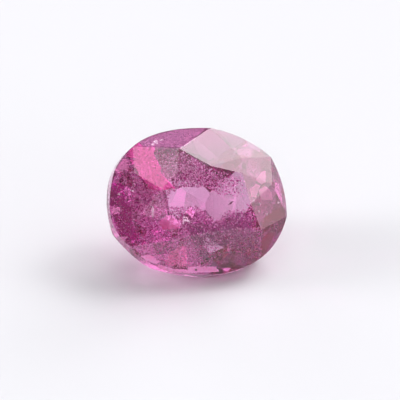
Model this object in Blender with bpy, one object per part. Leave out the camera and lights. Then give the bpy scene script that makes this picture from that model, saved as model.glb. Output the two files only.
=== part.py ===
"""Rhodolite garnet: one loose oval stone, cut with a table, eight kites, stars and girdle facets over a deep
pavilion, and lying tipped on one of its lower facets.

The stone is made the way a real one is. An oval blank is ground flat on one facet after another, and each
facet is a plane that takes away all that lies outside it.

Lengths are in millimetres and angles in degrees, in the stone's own frame: the girdle's upper edge lies in the
XY plane, the table faces +Z and the long axis runs along X. The finished stone is placed in metres.
"""

import math

import bmesh
import bpy
from mathutils import Matrix, Vector

METRES_PER_MM = 0.001

# The oval outline, a superellipse a little fuller than an ellipse
LENGTH = 9.0
WIDTH = 7.35
OUTLINE_POWER = 2.17
BLANK_SIDES = 96

# Heights above and below the girdle's upper edge
CROWN_HEIGHT = 1.40
GIRDLE_THICKNESS = 0.94
BLANK_DEPTH = 6.0

# The crown's eight kites, in order round the stone: the angle on the outline where each one touches the
# girdle, its slope, and the height of the shoulder where it meets the next kite
KITES = [
    (38, 34.0, 0.99),
    (83, 33.0, 0.89),
    (137, 30.0, 0.59),
    (172, 32.0, 0.88),
    (220, 35.0, 1.03),
    (263, 37.5, 0.92),
    (310, 36.5, 0.87),
    (350, 32.5, 0.72),
]

# The pavilion's upper tier touches the girdle's lower edge, all round but for the end at +X: angle on the
# outline, slope
UPPER_PAVILION = [
    (43, 55), (79, 47), (115, 44), (151, 46), (187, 58),
    (223, 62), (259, 60), (295, 62), (331, 78),
]

# The pavilion's main facets meet at the keel: direction faced, slope, distance from the stone's centre
PAVILION_MAINS = [
    (12, 42, 3.70), (114, 33, 3.55), (115, 54, 3.70), (164, 43, 3.75),
    (168, 27, 3.55), (176, 37, 3.45), (240, 54, 3.90), (247, 29, 3.75), (356, 44, 3.80),
]

# The lower facet that the stone lies on: direction faced, slope, distance from the stone's centre
REST_FACET = (282.5, 47.0, 3.65)

# How far the stone is turned about the vertical, once it lies on that facet
TURN = 5.5

# Points of the ground stone that lie closer together than this are one point
MERGE_DISTANCE = 0.002

GARNET_COLOUR = (0.62, 0.16, 0.36, 1.0)
GARNET_ROUGHNESS = 0.03
GARNET_IOR = 1.76


def clear_scene():
    """Removes the objects of a new scene."""
    for old in list(bpy.data.objects):
        bpy.data.objects.remove(old, do_unlink=True)


def rim(angle):
    """A point of the oval outline, and the level direction that the outline faces there."""
    cosine = math.cos(math.radians(angle))
    sine = math.sin(math.radians(angle))
    reach = (abs(cosine) ** OUTLINE_POWER + abs(sine) ** OUTLINE_POWER) ** (-1 / OUTLINE_POWER)
    point = Vector((LENGTH / 2 * reach * cosine, WIDTH / 2 * reach * sine, 0))
    facing = Vector((
        math.copysign(abs(reach * cosine) ** (OUTLINE_POWER - 1), cosine) * 2 / LENGTH,
        math.copysign(abs(reach * sine) ** (OUTLINE_POWER - 1), sine) * 2 / WIDTH,
        0,
    ))
    return point, facing.normalized()


def tilted(facing, slope, up):
    """The normal of a facet that faces a level direction, and slopes up or down from the girdle plane."""
    lift = math.cos(math.radians(slope))
    return facing * math.sin(math.radians(slope)) + Vector((0, 0, lift if up else -lift))


def level(direction):
    """The level direction at an angle from +X."""
    return Vector((math.cos(math.radians(direction)), math.sin(math.radians(direction)), 0))


def through(first, second, third):
    """The plane through three points of the crown, as its normal and its distance from the centre."""
    normal = (second - first).cross(third - first).normalized()
    if normal.z < 0:
        normal.negate()
    return normal, normal.dot(first)


def crown_facets():
    """The planes of the kites, the girdle facets between them and the stars round the table."""
    kites = []
    for angle, slope, shoulder_height in KITES:
        point, facing = rim(angle)
        normal = tilted(facing, slope, up=True)
        kites.append((point, normal, normal.dot(point), shoulder_height))

    table_corners = []
    for point, normal, distance, height in kites:
        inwards = -point.normalized()
        run = -normal.z * CROWN_HEIGHT / normal.dot(inwards)
        table_corners.append(point + inwards * run + Vector((0, 0, CROWN_HEIGHT)))

    shoulders = []
    for index, (point, normal, distance, height) in enumerate(kites):
        next_point, next_normal, next_distance, next_height = kites[(index + 1) % len(kites)]
        planes = Matrix((normal, next_normal, Vector((0, 0, 1))))
        shoulders.append(planes.inverted() @ Vector((distance, next_distance, height)))

    facets = [(normal, distance) for point, normal, distance, height in kites]
    for index, shoulder in enumerate(shoulders):
        following = (index + 1) % len(kites)
        facets.append(through(kites[index][0], shoulder, kites[following][0]))
        facets.append(through(table_corners[index], shoulder, table_corners[following]))
    return facets


def pavilion_facets():
    """The planes below the girdle, the one that the stone lies on among them."""
    facets = []
    for angle, slope in UPPER_PAVILION:
        point, facing = rim(angle)
        normal = tilted(facing, slope, up=False)
        facets.append((normal, normal.dot(point - Vector((0, 0, GIRDLE_THICKNESS)))))
    for direction, slope, distance in PAVILION_MAINS + [REST_FACET]:
        facets.append((tilted(level(direction), slope, up=False), distance))
    return facets


def oval_blank():
    """An oval block as tall as the crown and deeper than the pavilion, its top cap the table."""
    blank = bmesh.new()
    bmesh.ops.create_cone(
        blank, cap_ends=True, segments=BLANK_SIDES, radius1=1, radius2=1, depth=2
    )
    for vertex in blank.verts:
        angle = math.degrees(math.atan2(vertex.co.y, vertex.co.x))
        point, facing = rim(angle)
        point.z = CROWN_HEIGHT if vertex.co.z > 0 else -BLANK_DEPTH
        vertex.co = point
    return blank


def grind(stone, normal, distance):
    """Takes away all that lies outside one plane, and closes the stone with the new facet."""
    cut = bmesh.ops.bisect_plane(
        stone,
        geom=stone.verts[:] + stone.edges[:] + stone.faces[:],
        dist=MERGE_DISTANCE / 10,
        plane_co=normal * distance,
        plane_no=normal,
        clear_outer=True,
    )
    edges = [item for item in cut["geom_cut"] if isinstance(item, bmesh.types.BMEdge)]
    if edges:
        bmesh.ops.edgeloop_fill(stone, edges=edges)


def garnet_material():
    """Clear pinkish purple-red garnet."""
    material = bpy.data.materials.new("garnet")
    material.use_nodes = True
    shader = material.node_tree.nodes["Principled BSDF"]
    shader.inputs["Base Color"].default_value = GARNET_COLOUR
    shader.inputs["Roughness"].default_value = GARNET_ROUGHNESS
    shader.inputs["Metallic"].default_value = 0.0
    shader.inputs["IOR"].default_value = GARNET_IOR
    shader.inputs["Transmission Weight"].default_value = 1.0
    return material


def resting_placement(corners):
    """The turn and the shift that lay the stone on its rest facet, over the origin on the ground."""
    direction, slope, distance = REST_FACET
    rest_normal = tilted(level(direction), slope, up=False)
    tip = rest_normal.rotation_difference(Vector((0, 0, -1))).to_matrix()
    rotation = Matrix.Rotation(math.radians(TURN), 3, "Z") @ tip
    turned = [rotation @ corner for corner in corners]
    lows = [min(corner[axis] for corner in turned) for axis in range(3)]
    highs = [max(corner[axis] for corner in turned) for axis in range(3)]
    shift = Vector((-(lows[0] + highs[0]) / 2, -(lows[1] + highs[1]) / 2, -lows[2]))
    return rotation, shift


def make_garnet():
    """Grinds the stone, lays it down and gives it its material."""
    stone = oval_blank()
    for normal, distance in crown_facets() + pavilion_facets():
        grind(stone, normal, distance)
    bmesh.ops.remove_doubles(stone, verts=stone.verts[:], dist=MERGE_DISTANCE)
    bmesh.ops.dissolve_degenerate(stone, edges=stone.edges[:], dist=MERGE_DISTANCE)
    bmesh.ops.recalc_face_normals(stone, faces=stone.faces[:])
    rotation, shift = resting_placement([vertex.co for vertex in stone.verts])
    bmesh.ops.scale(stone, vec=Vector((METRES_PER_MM,) * 3), verts=stone.verts[:])

    mesh = bpy.data.meshes.new("garnet")
    stone.to_mesh(mesh)
    stone.free()
    mesh.materials.append(garnet_material())

    garnet = bpy.data.objects.new("garnet", mesh)
    garnet.rotation_euler = rotation.to_euler()
    garnet.location = shift * METRES_PER_MM
    return garnet


def main():
    clear_scene()
    collection = bpy.data.collections.new("rhodolite_garnet")
    bpy.context.scene.collection.children.link(collection)
    collection.objects.link(make_garnet())


main()
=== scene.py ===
"""Looks of one loose oval rhodolite garnet: clear, pinkish purple-red and full of fine silk, lying on a
pale surface in soft studio light.

Lengths are in metres, in the frame's own axes, and angles in degrees. Pixels are those of the picture
that the camera takes, counted from its upper left corner.
"""
import math

import bpy
import numpy as np
from mathutils import Euler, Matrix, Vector


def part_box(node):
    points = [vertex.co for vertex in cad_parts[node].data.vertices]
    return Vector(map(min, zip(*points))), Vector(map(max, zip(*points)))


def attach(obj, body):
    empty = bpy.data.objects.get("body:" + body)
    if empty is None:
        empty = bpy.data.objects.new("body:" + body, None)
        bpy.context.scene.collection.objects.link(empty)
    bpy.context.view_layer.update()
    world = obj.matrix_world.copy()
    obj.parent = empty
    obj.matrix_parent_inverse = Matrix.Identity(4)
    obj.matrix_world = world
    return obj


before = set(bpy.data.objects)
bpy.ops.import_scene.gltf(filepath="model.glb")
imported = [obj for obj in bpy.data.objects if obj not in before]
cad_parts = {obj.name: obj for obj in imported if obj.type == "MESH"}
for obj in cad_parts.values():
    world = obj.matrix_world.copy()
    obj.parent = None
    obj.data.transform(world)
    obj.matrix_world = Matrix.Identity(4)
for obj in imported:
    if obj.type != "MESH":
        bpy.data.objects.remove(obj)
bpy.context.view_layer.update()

MM = 0.001

# The camera looks down at the stone from the front, from so far off that its sides hardly converge.
# The stone's outline is centred on this pixel of a square picture, and spans this many pixels.
CAMERA_ELEVATION = 35
CAMERA_DISTANCE = 350 * MM
NEAREST_SEEN = 10 * MM
FARTHEST_SEEN = 10
PICTURE_PX = 400
STONE_CENTRE_PX = (196.8, 202.6)
STONE_SPAN_PX = 181.4
SENSOR_MM = 36

# Rhodolite: its refractive index, and how strongly each metre of it takes the colours that the tint lacks
REFRACTIVE_INDEX = 1.76
ABSORPTION_DENSITY = 180
ABSORPTION_COLOUR = (0.78, 0.02, 0.58, 1)

# Facets turned less than this towards the camera aren't looked through
LEAST_TURNED = 0.3
# Faces whose planes agree to this many digits, in millimetres, are one facet
PLANE_DIGITS = 3
# A point this little outside a facet still counts as on it
ON_THE_FACET = 0.005 * MM
# Lines of sight are followed from this far in front of the stone
SIGHT_START = 20 * MM

# Every flake inside the stone: its length, its width as a share of that, and how far it keeps from the
# facets; and the seed of the random draws
FLAKE_LENGTH = (0.05 * MM, 0.11 * MM)
FLAKE_WIDTH = 0.7
FLAKE_MARGIN = 0.08 * MM
DRAW_SEED = 7

# Silk: tiny flakes in a cloud below the crown, densest round the bright window in the middle of the stone
# and thinner with depth; how many there are, and how many places for them are tried at a time
SILK_COUNT = 12000
SILK_BATCH = 20000
SILK_THICKNESS = 0.02 * MM
SILK_FADE_DEPTH = 1.2 * MM
# The flakes face this way, between the table and straight up, tilted this way and that by up to so much
SILK_LIE = (0.15, -0.50, 0.85)
SILK_TILT = 25
SILK_SHINE = 1.0
SILK_ROUGHNESS = 0.4
SILK_DARK = (0.42, 0.0, 0.24, 1)
SILK_PALE = (1.0, 0.6, 0.9, 1)
SILK_DARK_SHARE = 0.4
# How dense it is outside its clouds
SILK_THINNEST = 0.06
# The clouds as they show in the picture: middle, reach each way, strength
SILK_CLOUDS_PX = [
    ((192, 172), (48, 24), 1.0),
    ((144, 200), (24, 36), 1.1),
    ((215, 226), (50, 26), 0.9),
    ((170, 248), (42, 22), 0.6),
]
# Outlines that it leaves clear: the window, the pink band, the facets behind on the right and on the left,
# and the smooth lower right
CLEAR_ZONES_PX = [
    [
        (168, 196), (180, 187), (207, 187), (220, 195), (247, 197), (246, 209),
        (227, 211), (218, 221), (208, 215), (198, 206), (180, 207), (168, 207),
    ],
    [(128, 152), (146, 144), (156, 158), (163, 172), (172, 188), (155, 188), (140, 175), (130, 162)],
    [(181, 148), (205, 125), (295, 125), (295, 230), (262, 231), (249, 201), (244, 178), (209, 167)],
    [(140, 144), (150, 134), (205, 124), (181, 147), (158, 149)],
    [
        (208, 268), (216, 258), (228, 251), (240, 254), (255, 258), (262, 256), (262, 232), (290, 222),
        (290, 270), (230, 285),
    ],
]

# Small dark flaws just beneath the facets, each outlined as it shows in the picture
FLAW_DEPTH = 0.12 * MM
FLAW_THICKNESS = 0.02 * MM
FLAW_COLOUR = (0.08, 0.01, 0.04, 1)
FLAW_ROUGHNESS = 0.4
FLAWS_PX = [
    [(228, 205), (231, 202), (234, 201), (231, 204)],
    [(195, 269), (197, 269), (197, 271), (195, 271)],
]

# Painted light and shade: patches of thin glinting flakes just beneath the facets, outlined where the
# facets show lit or shaded, lying so that they mirror one of the studio's lights, or the pale surface, to
# the front. Most are painted reflections and highlights, some are pale specks shown as painted glints, and
# the darkest are painted shade. Each has its light's azimuth and elevation, how metallic it shines, the two
# tones that its flakes lie between, its flakes for each pixel, and its outlines.
PAINTED_LIGHT_DEPTH = (0.10 * MM, 0.35 * MM)
PAINTED_LIGHT_THICKNESS = 0.004 * MM
PAINTED_LIGHT_TILT = 6
PAINTED_LIGHT_ROUGHNESS = 0.3
LIGHT_ON_THE_RIGHT = (20, 50)
LIGHT_ON_THE_LEFT = (180, 20)
SURFACE_IN_FRONT = (-100, -30)
PAINTED_LIGHT_PX = {
    # Painted reflection: pink flakes that light up the pink band on the upper left with the light on the
    # right
    "pink_painted_reflections": (LIGHT_ON_THE_RIGHT, 1, (0.76, 0.08, 0.40, 1), (0.94, 0.13, 0.54, 1), 5, [
        [(125, 156), (131, 149), (138, 142), (143, 147), (155, 147), (153, 154), (146, 158), (138, 159)],
        [(130, 160), (138, 159), (146, 158), (153, 154), (161, 168), (160, 172), (146, 171), (138, 172)],
        [(138, 172), (146, 171), (160, 172), (168, 181), (175, 188), (160, 190), (150, 189)],
    ]),
    # Painted reflection: dim rose flakes that light the facets on the right with the light on the right
    "east_painted_reflections": (LIGHT_ON_THE_RIGHT, 0.5, (0.52, 0.10, 0.30, 1), (0.70, 0.15, 0.44, 1), 5, [
        [(256, 180), (262, 172), (266, 171), (266, 182), (262, 184)],
        [(250, 190), (256, 184), (260, 186), (256, 197), (252, 197)],
        [(259, 190), (266, 186), (272, 193), (273, 200), (262, 200)],
    ]),
    # Painted reflection: mauve flakes along the top, beside the bright facet, lit by the light on the right
    "mauve_painted_reflections": (LIGHT_ON_THE_RIGHT, 1, (0.42, 0.14, 0.34, 1), (0.60, 0.20, 0.42, 1), 5, [
        [(138, 142), (148, 135), (162, 130), (182, 127), (207, 127), (181, 148), (165, 149), (143, 146)],
    ]),
    # Painted highlight: bright rose patches below the window, mirroring the light on the right
    "rose_painted_highlights": (LIGHT_ON_THE_RIGHT, 1, (0.95, 0.26, 0.68, 1), (1.0, 0.38, 0.80, 1), 5, [
        [(158, 222), (166, 216), (172, 216), (180, 222), (180, 228), (170, 230), (163, 229)],
        [(186, 212), (192, 207), (194, 213), (192, 218)],
    ]),
    # Painted reflection: flakes on the left that mirror the low light on the left
    "west_painted_reflections": (LIGHT_ON_THE_LEFT, 1, (0.52, 0.13, 0.33, 1), (0.66, 0.20, 0.44, 1), 5, [
        [(114, 171), (119, 164), (125, 158), (130, 164), (128, 170), (120, 172)],
        [(112, 208), (120, 208), (120, 213), (112, 213)],
    ]),
    # Painted reflection: sparse maroon flakes over the facets on the left, mirroring the light on the right
    "maroon_painted_reflections": (LIGHT_ON_THE_RIGHT, 1, (0.55, 0.02, 0.32, 1), (0.80, 0.06, 0.50, 1), 2, [
        [(111, 183), (124, 184), (125, 206), (110, 206)],
        [(122, 202), (131, 204), (131, 220), (138, 240), (124, 240), (114, 222), (113, 215), (121, 213)],
    ]),
    # Painted reflection: a sparse bright pink fan low in the middle, mirroring the light on the right
    "fan_painted_reflection": (LIGHT_ON_THE_RIGHT, 1, (0.85, 0.24, 0.56, 1), (1.0, 0.36, 0.70, 1), 1.2, [
        [(164, 262), (171, 252), (182, 246), (187, 246), (187, 266), (170, 266)],
    ]),
    # Painted highlights: bright pink arcs and spots along the lower rim, mirroring the pale surface in front
    "rim_painted_highlights": (SURFACE_IN_FRONT, 1, (1.0, 0.36, 0.72, 1), (1.0, 0.48, 0.88, 1), 5, [
        [(117, 237), (127, 237), (124, 241)],
        [(140, 256), (150, 255), (160, 262), (156, 264), (147, 261)],
        [(188, 267), (216, 267), (219, 272), (188, 273)],
        [(158, 265), (172, 269), (187, 270), (187, 273), (172, 272), (158, 268)],
    ]),
    # Painted shade: sparse dark flakes that darken the facets below the window and on the lower right
    "painted_shade": (LIGHT_ON_THE_RIGHT, 1, (0.20, 0.02, 0.12, 1), (0.40, 0.05, 0.26, 1), 0.9, [
        [
            (180, 214), (200, 213), (210, 222), (222, 222), (232, 213), (249, 213), (254, 232), (232, 246),
            (195, 246),
        ],
        [(228, 249), (245, 236), (260, 232), (262, 256), (250, 258)],
    ]),
    # Pale specks and scratches, each shown as a painted glint: white flakes turned to mirror the light on
    # the right
    "pale_specks_painted_glints": (LIGHT_ON_THE_RIGHT, 1, (0.9, 0.6, 0.8, 1), (1.0, 0.8, 0.95, 1), 12, [
        [(183, 224), (184, 216), (187, 218), (190, 223), (186, 221)],
        [(152, 217), (152, 209), (153, 207), (154, 211), (153, 217)],
        [(151, 145), (152, 143), (154, 143), (154, 145)],
        [(155, 144), (157, 142), (158, 143)],
        [(153, 142), (155, 140), (158, 140), (156, 142)],
        [(159, 140), (163, 139), (160, 141)],
        [(118, 194), (119, 193), (120, 194), (119, 195)],
        [(132, 191), (133, 190), (134, 191), (133, 192)],
    ]),
    # Faint specks on the right, each shown as a painted glint of the light on the right
    "faint_specks_painted_glints": (LIGHT_ON_THE_RIGHT, 1, (0.26, 0.14, 0.20, 1), (0.36, 0.20, 0.28, 1), 12, [
        [(253, 201), (254, 200), (255, 201), (254, 202)],
        [(259, 204), (260, 203), (261, 204), (260, 205)],
        [(266, 214), (267, 213), (268, 214), (267, 215)],
        [(258, 211), (259, 210), (260, 211), (259, 212)],
        [(278, 203), (279, 202), (280, 203), (279, 204)],
    ]),
}

# The pale surface that the stone lies on
FLOOR_SIZE = 2.0
FLOOR_COLOUR = (0.74, 0.735, 0.765, 1)
FLOOR_ROUGHNESS = 0.9
# It lies a hair below the stone's lowest facet, because two surfaces in one place can't both be drawn
FLOOR_GAP = 0.01 * MM

# The studio's soft lights: azimuth from +X, elevation, tightness and strength; and the room's own light
SOFT_LIGHTS = [
    (0, 5, 50, 1.6),
    (0, 20, 50, 4.2),
    (40, 20, 50, 5.5),
    (60, 20, 50, 3.9),
    (120, 20, 50, 3.0),
    (180, 20, 50, 14.5),
    (-80, 20, 50, 0.5),
    (-60, 20, 20, 0.35),
    (-40, 20, 50, 2.3),
    (-100, 35, 50, 2.0),
    (20, 50, 50, 10.0),
    (60, 50, 50, 4.9),
    (-40, 50, 50, 0.3),
    (120, 82, 50, 3.1),
]
ROOM_LIGHT = (0.21, 0.21, 0.217)

# How often light may turn on its way through a cut stone, and the limit that keeps stray sparks out
BOUNCES_IN_ALL = 32
GLOSSY_BOUNCES = 16
DIFFUSE_BOUNCES = 6
SPARK_LIMIT = 10


def place_camera(stone):
    """A long lens above the front of the stone, framed as the photograph is.

    Gives back its directions, the point that the middle of the picture shows, and the length that one pixel
    spans there.
    """
    tip = math.radians(CAMERA_ELEVATION)
    back = Vector((0, -math.cos(tip), math.sin(tip)))
    right = Vector((1, 0, 0))
    up = back.cross(right)
    corners = [vertex.co for vertex in stone.data.vertices]
    across = [corner.dot(right) for corner in corners]
    upward = [corner.dot(up) for corner in corners]
    toward = [corner.dot(back) for corner in corners]
    field = (max(across) - min(across)) * PICTURE_PX / STONE_SPAN_PX
    pixel = field / PICTURE_PX
    target = (
        right * ((min(across) + max(across)) / 2 + (PICTURE_PX / 2 - STONE_CENTRE_PX[0]) * pixel)
        + up * ((min(upward) + max(upward)) / 2 + (STONE_CENTRE_PX[1] - PICTURE_PX / 2) * pixel)
        + back * max(toward)
    )
    data = bpy.data.cameras.new("camera")
    data.sensor_width = SENSOR_MM
    data.lens = SENSOR_MM * CAMERA_DISTANCE / field
    data.clip_start = NEAREST_SEEN
    data.clip_end = FARTHEST_SEEN
    camera = bpy.data.objects.new("camera", data)
    camera.location = target + back * CAMERA_DISTANCE
    camera.rotation_euler = Euler((math.radians(90 - CAMERA_ELEVATION), 0, 0))
    bpy.context.scene.collection.objects.link(camera)
    bpy.context.scene.camera = camera
    directions = {"right": right, "up": up, "back": back, "target": target}
    return {"pixel": pixel, **{name: np.array(vector) for name, vector in directions.items()}}


def light_studio():
    """Wide soft lights round the stone, strongest low on the left and high on the right, in a pale room."""
    world = bpy.data.worlds.new("studio")
    world.use_nodes = True
    bpy.context.scene.world = world
    nodes = world.node_tree.nodes
    links = world.node_tree.links
    nodes.clear()
    direction = nodes.new("ShaderNodeTexCoord").outputs["Generated"]

    def math_node(operation, first, second=0):
        node = nodes.new("ShaderNodeMath")
        node.operation = operation
        for socket, value in zip(node.inputs, (first, second)):
            if isinstance(value, (int, float)):
                socket.default_value = value
            else:
                links.new(value, socket)
        return node.outputs["Value"]

    total = None
    for azimuth, elevation, tightness, strength in SOFT_LIGHTS:
        dot = nodes.new("ShaderNodeVectorMath")
        dot.operation = "DOT_PRODUCT"
        dot.inputs[1].default_value = pointing(azimuth, elevation)
        links.new(direction, dot.inputs[0])
        nearness = math_node("SUBTRACT", dot.outputs["Value"], 1)
        glow = math_node("EXPONENT", math_node("MULTIPLY", nearness, tightness))
        light = math_node("MULTIPLY", glow, strength)
        total = light if total is None else math_node("ADD", total, light)

    room = nodes.new("ShaderNodeBackground")
    room.inputs["Color"].default_value = (*ROOM_LIGHT, 1)
    lights = nodes.new("ShaderNodeBackground")
    lights.inputs["Color"].default_value = (1, 1, 1, 1)
    links.new(total, lights.inputs["Strength"])
    both = nodes.new("ShaderNodeAddShader")
    links.new(room.outputs["Background"], both.inputs[0])
    links.new(lights.outputs["Background"], both.inputs[1])
    output = nodes.new("ShaderNodeOutputWorld")
    links.new(both.outputs["Shader"], output.inputs["Surface"])


def garnet_material():
    """Clear glass-bright garnet, coloured by what its depth takes from the light."""
    material = bpy.data.materials.new("garnet_clear")
    material.use_nodes = True
    nodes = material.node_tree.nodes
    links = material.node_tree.links
    shader = nodes["Principled BSDF"]
    shader.inputs["Base Color"].default_value = (1, 1, 1, 1)
    shader.inputs["Roughness"].default_value = 0
    shader.inputs["IOR"].default_value = REFRACTIVE_INDEX
    shader.inputs["Transmission Weight"].default_value = 1
    depth = nodes.new("ShaderNodeVolumeAbsorption")
    depth.inputs["Color"].default_value = ABSORPTION_COLOUR
    depth.inputs["Density"].default_value = ABSORPTION_DENSITY
    links.new(depth.outputs["Volume"], nodes["Material Output"].inputs["Volume"])
    return material


def flake_material(name, shine, roughness, first_tone, last_tone, first_share=None):
    """Glinting flakes, each of a tone between two, or of either one if the share of the first is given."""
    material = bpy.data.materials.new(name)
    material.use_nodes = True
    nodes = material.node_tree.nodes
    links = material.node_tree.links
    shader = nodes["Principled BSDF"]
    shader.inputs["Metallic"].default_value = shine
    shader.inputs["Roughness"].default_value = roughness
    flake = nodes.new("ShaderNodeNewGeometry")
    tone = nodes.new("ShaderNodeValToRGB")
    tone.color_ramp.elements[0].color = first_tone
    tone.color_ramp.elements[1].color = last_tone
    if first_share is not None:
        tone.color_ramp.interpolation = "CONSTANT"
        tone.color_ramp.elements[1].position = first_share
    links.new(flake.outputs["Random Per Island"], tone.inputs["Fac"])
    links.new(tone.outputs["Color"], shader.inputs["Base Color"])
    return material


def flaw_material():
    """A flat dark chip, as a crack or a grain shows inside a clear stone."""
    material = bpy.data.materials.new("flaws")
    material.use_nodes = True
    shader = material.node_tree.nodes["Principled BSDF"]
    shader.inputs["Base Color"].default_value = FLAW_COLOUR
    shader.inputs["Roughness"].default_value = FLAW_ROUGHNESS
    shader.inputs["Specular IOR Level"].default_value = 0
    return material


def floor_material():
    """Smooth, dull, pale board."""
    material = bpy.data.materials.new("pale_board")
    material.use_nodes = True
    shader = material.node_tree.nodes["Principled BSDF"]
    shader.inputs["Base Color"].default_value = FLOOR_COLOUR
    shader.inputs["Roughness"].default_value = FLOOR_ROUGHNESS
    shader.inputs["Specular IOR Level"].default_value = 0
    return material


def make_floor():
    """The flat pale surface under the stone."""
    half = FLOOR_SIZE / 2
    mesh = bpy.data.meshes.new("floor")
    corners = [(x * half, y * half, -FLOOR_GAP) for x, y in ((-1, -1), (1, -1), (1, 1), (-1, 1))]
    mesh.from_pydata(corners, [], [(0, 1, 2, 3)])
    mesh.materials.append(floor_material())
    floor = bpy.data.objects.new("floor", mesh)
    bpy.context.scene.collection.objects.link(floor)


def facet_planes(stone):
    """The planes of the stone's facets, each once: outward normals and distances from the origin."""
    planes = {}
    for face in stone.data.polygons:
        distance = face.normal.dot(face.center)
        key = tuple(round(value, PLANE_DIGITS) for value in (*face.normal, distance / MM))
        planes[key] = (*face.normal, distance)
    table = np.array(list(planes.values()))
    return table[:, :3], table[:, 3]


def pointing(azimuth, elevation):
    """The direction at an azimuth from +X and an elevation."""
    turn = math.radians(azimuth)
    lift = math.radians(elevation)
    return np.array([math.cos(turn) * math.cos(lift), math.sin(turn) * math.cos(lift), math.sin(lift)])


def unit(vectors):
    """The same directions, one unit long."""
    return vectors / np.linalg.norm(vectors, axis=-1, keepdims=True)


def refracted(ray, normals):
    """The direction in which a ray goes on inside the stone, for each of the facets it enters by."""
    bend = 1 / REFRACTIVE_INDEX
    cosine = -(normals @ ray)[..., None]
    return bend * ray + (bend * cosine - np.sqrt(1 - bend * bend * (1 - cosine * cosine))) * normals


def within(points, corners):
    """Which points of the picture lie inside an outline of it."""
    inside = np.zeros(len(points), bool)
    for (first_x, first_y), (next_x, next_y) in zip(corners, corners[1:] + corners[:1]):
        spans = (first_y > points[:, 1]) != (next_y > points[:, 1])
        if first_y != next_y:
            crossing = first_x + (points[:, 1] - first_y) / (next_y - first_y) * (next_x - first_x)
            inside ^= spans & (points[:, 0] < crossing)
    return inside


def silk_density(places, planes, view):
    """How dense the silk is at each place, from where it shows in the picture through the facets."""
    normals, distances = planes
    dense = np.full(len(places), SILK_THINNEST)
    clear = np.zeros(len(places), bool)
    turned_to_us = normals @ view["back"] > LEAST_TURNED
    for normal, distance in zip(normals[turned_to_us], distances[turned_to_us]):
        sight = refracted(-view["back"], normal)
        climb = (places @ normal - distance) / sight.dot(normal)
        seen = places - np.outer(climb, sight)
        shows = (seen @ normals.T <= distances + ON_THE_FACET).all(axis=1)
        offset = (seen - view["target"]) / view["pixel"]
        across = PICTURE_PX / 2 + offset @ view["right"]
        down = PICTURE_PX / 2 - offset @ view["up"]
        pixels = np.stack([across, down], axis=1)
        for corners in CLEAR_ZONES_PX:
            clear |= shows & within(pixels, corners)
        for centre, reach, strength in SILK_CLOUDS_PX:
            apart = (((pixels - centre) / reach) ** 2).sum(axis=1)
            dense = np.where(shows, np.maximum(dense, strength * np.exp(-apart)), dense)
    depth = (distances - places @ normals.T)[:, turned_to_us].min(axis=1)
    return np.where(clear, 0, dense) * np.exp(-depth / SILK_FADE_DEPTH)


def inside_stone(places, planes):
    """Which places lie inside the stone, clear of its facets."""
    normals, distances = planes
    return (places @ normals.T < distances - FLAKE_MARGIN).all(axis=1)


def silk_places(planes, view, count, draw):
    """Random places inside the stone, as many as asked, gathered as densely as the silk is."""
    low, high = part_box("garnet")
    places = np.empty((0, 3))
    while len(places) < count:
        batch = draw.uniform(low, high, (SILK_BATCH, 3))
        batch = batch[inside_stone(batch, planes)]
        chosen = draw.random(len(batch)) < silk_density(batch, planes, view)
        places = np.concatenate([places, batch[chosen]])
    return places[:count]


def add_piece(name, corners, faces, material):
    """One piece inside the stone, which goes where the stone goes."""
    mesh = bpy.data.meshes.new(name)
    mesh.from_pydata(corners, [], faces)
    mesh.materials.append(material)
    piece = bpy.data.objects.new(name, mesh)
    bpy.context.scene.collection.objects.link(piece)
    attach(piece, "root")


def add_flakes(name, places, lies, tilt, thickness, material, draw):
    """One tiny flat eight-sided flake at each place, which lies as given but for a random tilt."""
    lies = unit(np.broadcast_to(lies, places.shape))
    east = unit(np.cross(lies, (0, 1, 0)))
    north = np.cross(lies, east)
    tips = np.tan(np.radians(draw.uniform(-tilt, tilt, (2, len(places), 1))))
    spin = draw.uniform(0, 2 * math.pi, (len(places), 1))
    length = draw.uniform(*FLAKE_LENGTH, (len(places), 1))
    out = unit(lies + tips[0] * east + tips[1] * north)
    along = np.cos(spin) * east + np.sin(spin) * north
    along = unit(along - (along * out).sum(axis=1, keepdims=True) * out)
    across = np.cross(out, along)
    reaches = (along * length / 2, across * length * FLAKE_WIDTH / 2, out * thickness / 2)
    corners = np.stack([places + side * reach for reach in reaches for side in (-1, 1)], axis=1)
    sides = []
    for along_end in (0, 1):
        for across_end in (2, 3):
            for out_end in (4, 5):
                # A side whose corners' numbers add up to an odd one already faces outwards
                around = (along_end, across_end, out_end)
                sides.append(around if sum(around) % 2 == 1 else around[::-1])
    faces = np.array(sides) + corners.shape[1] * np.arange(len(places)).reshape(-1, 1, 1)
    add_piece(name, corners.reshape(-1, 3).tolist(), faces.reshape(-1, 3).tolist(), material)


def make_silk(planes, view, draw):
    """The cloud of silk, dark flakes and pale ones."""
    places = silk_places(planes, view, SILK_COUNT, draw)
    material = flake_material("silk", SILK_SHINE, SILK_ROUGHNESS, SILK_DARK, SILK_PALE, SILK_DARK_SHARE)
    add_flakes("silk", places, SILK_LIE, SILK_TILT, SILK_THICKNESS, material, draw)


def sight_starts(pixels, view):
    """Points in front of the stone, on the lines of sight through pixels of the picture."""
    offsets = (pixels - PICTURE_PX / 2) * view["pixel"]
    aside = offsets[:, :1] * view["right"] - offsets[:, 1:] * view["up"]
    return view["target"] + aside + view["back"] * SIGHT_START


def facets_behind(pixels, planes, view):
    """The facets that show at pixels of the picture: their normals and their distances from the origin."""
    normals, distances = planes
    toward = normals @ view["back"]
    turned_to_us = toward > LEAST_TURNED
    reach = (sight_starts(pixels, view) @ normals.T - distances)[:, turned_to_us] / toward[turned_to_us]
    last = reach.argmax(axis=1)
    return normals[turned_to_us][last], distances[turned_to_us][last]


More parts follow.
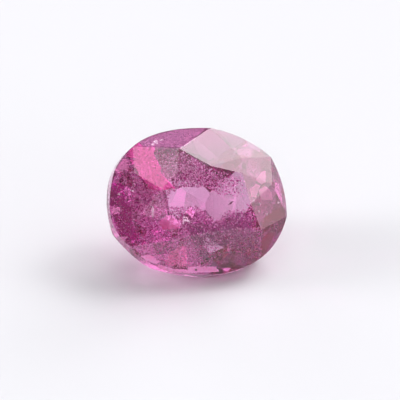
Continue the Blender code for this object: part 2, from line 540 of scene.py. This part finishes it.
def beneath(pixels, facets, depths, view):
    """The places inside the stone that show at pixels, at their depths below the facets."""
    normals, distances = facets
    starts = sight_starts(pixels, view)
    gaps = ((starts * normals).sum(axis=1) - distances) / (normals @ view["back"])
    entries = starts - view["back"] * gaps[:, None]
    sights = refracted(-view["back"], normals)
    return entries - sights * (depths / (sights * normals).sum(axis=1))[:, None]


def mirroring(light, facets, view):
    """How a flake below each facet lies, to mirror a light to the front through that facet."""
    normals, distances = facets
    return unit(-refracted(-view["back"], normals) - refracted(-pointing(*light), normals))


def make_painted_light(name, light, shine, first_tone, last_tone, flakes_per_pixel, outlines, planes, view, draw):
    """Painted light and shade: patches of glinting flakes just beneath the facets, turned to mirror a light
    to the front.
    """
    spots = []
    for outline in outlines:
        low = np.min(outline, axis=0)
        high = np.max(outline, axis=0)
        candidates = draw.uniform(low, high, (round(np.prod(high - low) * flakes_per_pixel), 2))
        spots.append(candidates[within(candidates, outline)])
    pixels = np.concatenate(spots)
    facets = facets_behind(pixels, planes, view)
    places = beneath(pixels, facets, draw.uniform(*PAINTED_LIGHT_DEPTH, len(pixels)), view)
    inside = inside_stone(places, planes)
    lies = mirroring(light, facets, view)
    material = flake_material(name, shine, PAINTED_LIGHT_ROUGHNESS, first_tone, last_tone)
    add_flakes(name, places[inside], lies[inside], PAINTED_LIGHT_TILT, PAINTED_LIGHT_THICKNESS, material, draw)


def make_flaws(planes, view):
    """Thin flat flaws just beneath the facets, one for each outline in the picture."""
    corners = []
    faces = []
    for outline in FLAWS_PX:
        pixels = np.array(outline, float)
        sides = len(outline)
        normals, distances = facets_behind(pixels.mean(axis=0, keepdims=True), planes, view)
        facets = (np.repeat(normals, sides, axis=0), np.repeat(distances, sides))
        first = len(corners)
        for depth in (FLAW_DEPTH, FLAW_DEPTH + FLAW_THICKNESS):
            corners += beneath(pixels, facets, np.full(sides, depth), view).tolist()
        faces.append([first + side for side in range(sides)])
        faces.append([first + sides + side for side in reversed(range(sides))])
        for side in range(sides):
            after = (side + 1) % sides
            faces.append([first + after, first + side, first + sides + side, first + sides + after])
    add_piece("flaws", corners, faces, flaw_material())


def set_render_quality():
    """Enough bounces for light to find its way through a cut stone, and plain display colours."""
    scene = bpy.context.scene
    scene.view_settings.view_transform = "Standard"
    scene.cycles.max_bounces = BOUNCES_IN_ALL
    scene.cycles.transmission_bounces = BOUNCES_IN_ALL
    scene.cycles.glossy_bounces = GLOSSY_BOUNCES
    scene.cycles.diffuse_bounces = DIFFUSE_BOUNCES
    scene.cycles.blur_glossy = 0
    scene.cycles.sample_clamp_indirect = SPARK_LIMIT
    scene.cycles.use_denoising = True


def main():
    """Sets up the camera, the light and the surface, clears the stone, fills it with its silk and flaws, and
    lays the patches of painted light and shade beneath its facets.
    """
    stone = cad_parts["garnet"]
    view = place_camera(stone)
    light_studio()
    make_floor()
    for slot in stone.material_slots:
        slot.material = garnet_material()
    planes = facet_planes(stone)
    draw = np.random.default_rng(DRAW_SEED)
    make_silk(planes, view, draw)
    make_flaws(planes, view)
    # Patches of painted reflection, highlight, glint and shade beneath the facets
    for name, painted_patches in PAINTED_LIGHT_PX.items():
        make_painted_light(name, *painted_patches, planes, view, draw)
    set_render_quality()


main()
